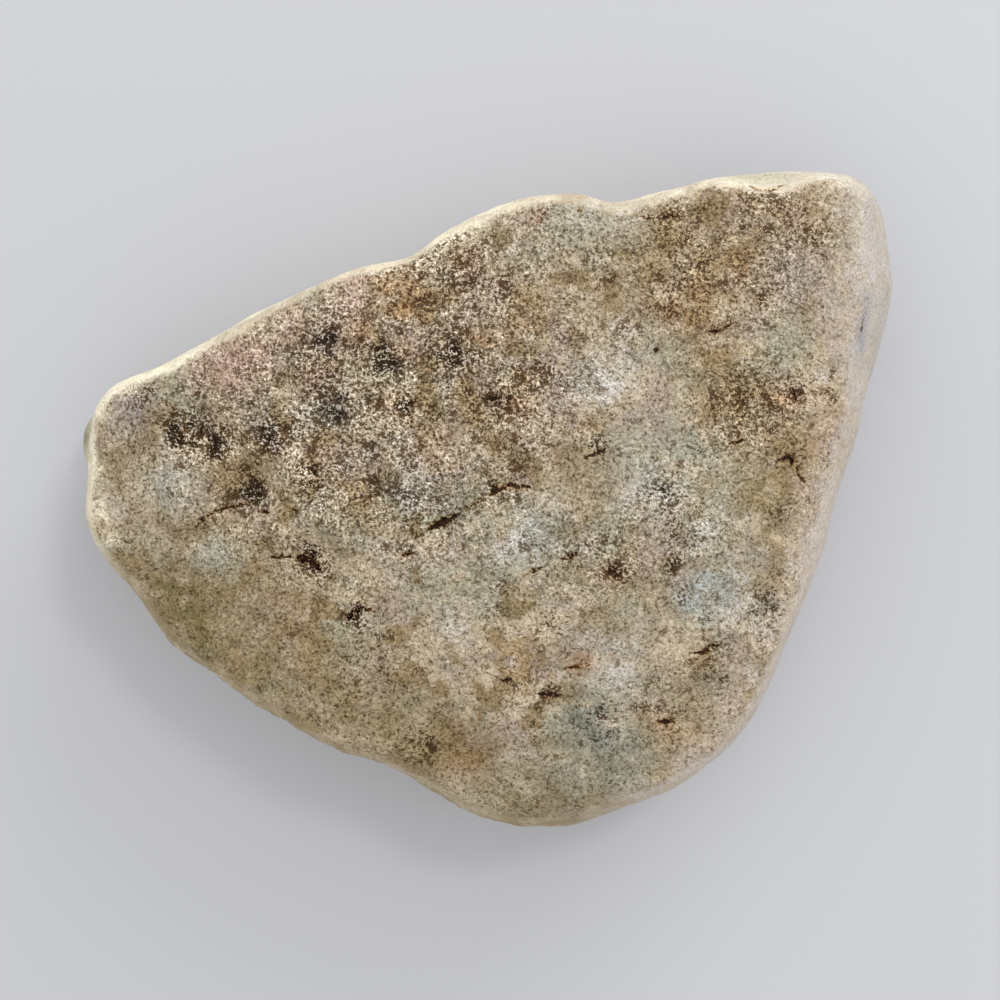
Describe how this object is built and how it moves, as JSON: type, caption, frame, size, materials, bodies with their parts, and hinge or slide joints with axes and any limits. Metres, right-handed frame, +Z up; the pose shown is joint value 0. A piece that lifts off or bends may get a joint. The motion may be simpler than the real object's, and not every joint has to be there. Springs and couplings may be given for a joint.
{
  "type": "rough jadeite stone",
  "caption": "Rough jadeite: a three-cornered, water-worn cobble with a broad pitted face, resting on its worn underside.",
  "frame": {"origin": "middle of the stone's plan, on the surface that it rests on", "axes": "+X along the stone's longest reach, towards its broad right side; +Z up, through its thickness"},
  "size_m": [0.1078, 0.0848, 0.0327],
  "materials": {
    "weathered_jadeite": "matte"
  },
  "bodies": {
    "root": {"jadeite_cobble": "weathered_jadeite"}
  },
  "joints": []
}
